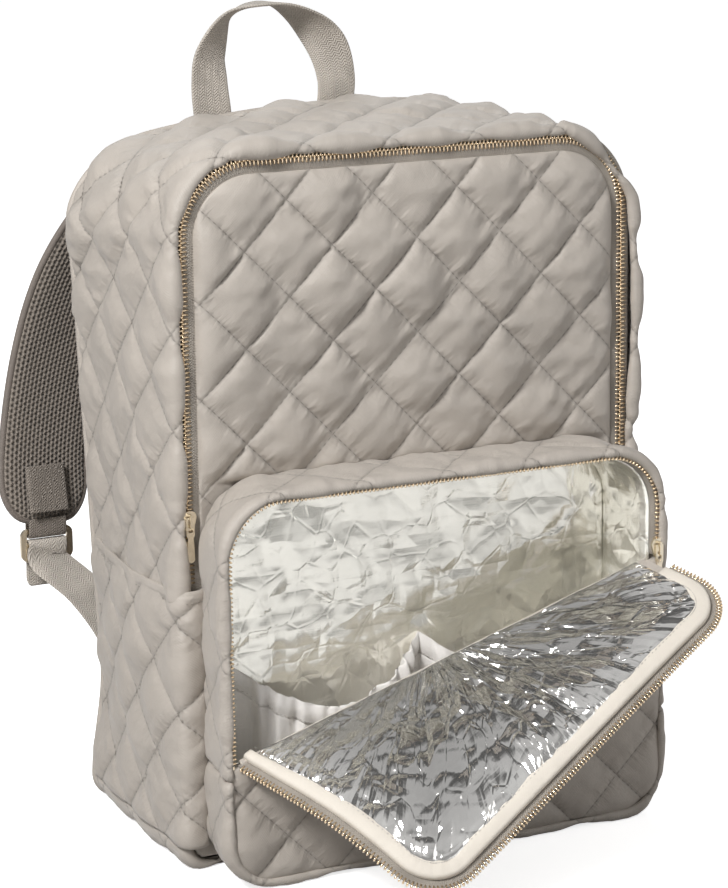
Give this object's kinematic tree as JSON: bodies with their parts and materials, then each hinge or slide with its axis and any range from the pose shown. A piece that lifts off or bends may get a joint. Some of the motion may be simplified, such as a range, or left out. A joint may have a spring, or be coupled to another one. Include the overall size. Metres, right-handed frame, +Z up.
{
  "type": "diaper bag",
  "caption": "Quilted backpack diaper bag with a zipped front door, an insulated bottle pocket with a folding flap, side pockets, grab handle and padded shoulder straps.",
  "frame": {"origin": "centre of the flat base that the bag stands on", "axes": "+Z up, -Y out of the front with the thermal pocket, +Y towards the wearer's back, +X to the right of someone facing the front"},
  "size_m": [0.3614, 0.3758, 0.4806],
  "materials": {
    "quilted_fabric": "quilted satin-weave polyester with diamond stitching",
    "air_mesh": "dark open-pore spacer mesh",
    "webbing": "woven polyester webbing",
    "zip_tape": "herringbone woven tape",
    "gold_metal": "polished pale gold",
    "foil_lining": "crinkled aluminised insulating film",
    "cream_binding": "folded bias tape",
    "holder_cloth": "thin coated cloth",
    "lining_cloth": "plain woven lining",
    "foam": "closed-cell foam sheet",
    "board": "thin plastic stiffener"
  },
  "bodies": {
    "root": {"body_gusset": "quilted_fabric", "bottom_panel": "quilted_fabric", "front_lower_panel": "quilted_fabric", "left_side_pocket": "quilted_fabric", "right_side_pocket": "quilted_fabric", "left_side_pocket_binding": "quilted_fabric", "right_side_pocket_binding": "quilted_fabric", "pocket_gusset": "quilted_fabric", "pocket_gusset_lower": "quilted_fabric", "pocket_front_lower": "quilted_fabric", "back_panel": "air_mesh", "back_foam": "foam", "base_board": "board", "main_lining": "lining_cloth", "inner_slip_pocket": "lining_cloth", "main_zip_outer_tape": "zip_tape", "main_zip_end_left": "zip_tape", "main_zip_end_right": "zip_tape", "pocket_zip_tape": "zip_tape", "main_zip_outer_teeth": "gold_metal", "pocket_zip_teeth": "gold_metal", "pocket_zip_stop": "gold_metal", "pocket_front_lower_lining": "foil_lining", "pocket_foil_liner": "foil_lining", "bottle_holder": "holder_cloth", "bottle_holder_elastic": "holder_cloth", "strap_yoke": "webbing"},
    "front_door": {"front_door_panel": "quilted_fabric", "front_door_lining": "lining_cloth", "main_zip_inner_tape": "zip_tape", "main_zip_inner_teeth": "gold_metal"},
    "flap_base": {"flap_base_cover": "quilted_fabric", "flap_base_lining": "foil_lining", "flap_base_teeth_left": "gold_metal", "flap_base_teeth_right": "gold_metal", "flap_base_tape_left": "zip_tape", "flap_base_tape_right": "zip_tape", "flap_base_binding_left": "cream_binding", "flap_base_binding_right": "cream_binding"},
    "flap_tip": {"flap_tip_cover": "quilted_fabric", "flap_tip_lining": "foil_lining", "flap_tip_teeth": "gold_metal", "flap_tip_tape": "zip_tape", "flap_tip_binding": "cream_binding"},
    "main_slider": {"main_zip_slider": "gold_metal"},
    "main_pull": {"main_zip_pull": "gold_metal"},
    "pocket_slider": {"pocket_zip_slider": "gold_metal"},
    "pocket_pull": {"pocket_zip_pull": "gold_metal"},
    "handle": {"top_handle": "webbing"},
    "left_strap": {"left_strap_pad": "air_mesh", "left_strap_patch": "webbing", "left_strap_loop": "webbing", "left_strap_buckle": "gold_metal", "left_strap_webbing": "webbing"},
    "right_strap": {"right_strap_pad": "air_mesh", "right_strap_patch": "webbing", "right_strap_loop": "webbing", "right_strap_buckle": "gold_metal", "right_strap_webbing": "webbing"}
  },
  "joints": [
    {"name": "door_fold", "type": "hinge", "parent": "root", "child": "front_door", "pos_m": [0, -0.078, 0.2395], "axis": [1, 0, 0], "range_deg": [0, 90]},
    {"name": "flap_fold", "type": "hinge", "parent": "root", "child": "flap_base", "pos_m": [0, -0.124, 0.116], "axis": [0.9567, 0, 0.2912], "range_deg": [-112, 8]},
    {"name": "flap_curl", "type": "hinge", "parent": "flap_base", "child": "flap_tip", "pos_m": [0.00764, -0.1889, 0.09091], "axis": [0.9567, 0, 0.2912], "range_deg": [-21, 1.5]},
    {"name": "main_slider_run", "type": "slide", "parent": "root", "child": "main_slider", "axis": [0, 0, 1], "range_m": [0, 0.145]},
    {"name": "main_pull_swing", "type": "hinge", "parent": "main_slider", "child": "main_pull", "pos_m": [-0.14275, -0.0804, 0.2076], "axis": [-1, 0, 0], "range_deg": [0, 150]},
    {"name": "pocket_slider_run", "type": "slide", "parent": "root", "child": "pocket_slider", "axis": [0, 0, 1], "range_m": [0, 0.016]},
    {"name": "pocket_pull_swing", "type": "hinge", "parent": "pocket_slider", "child": "pocket_pull", "pos_m": [0.13855, -0.1274, 0.1664], "axis": [-1, 0, 0], "range_deg": [0, 20]},
    {"name": "handle_tilt", "type": "hinge", "parent": "root", "child": "handle", "pos_m": [0, 0.076, 0.4138], "axis": [1, 0, 0], "range_deg": [-70, 75]},
    {"name": "left_strap_swing", "type": "hinge", "parent": "root", "child": "left_strap", "pos_m": [-0.048, 0.082, 0.384], "axis": [0.1779, 0, 0.984], "range_deg": [-12, 12]},
    {"name": "right_strap_swing", "type": "hinge", "parent": "root", "child": "right_strap", "pos_m": [0.048, 0.082, 0.384], "axis": [0.1779, 0, -0.984], "range_deg": [-12, 12]}
  ],
  "couplings": [
    {"joint": "flap_curl", "follows": "flap_fold", "ratio": 0.1875}
  ]
}
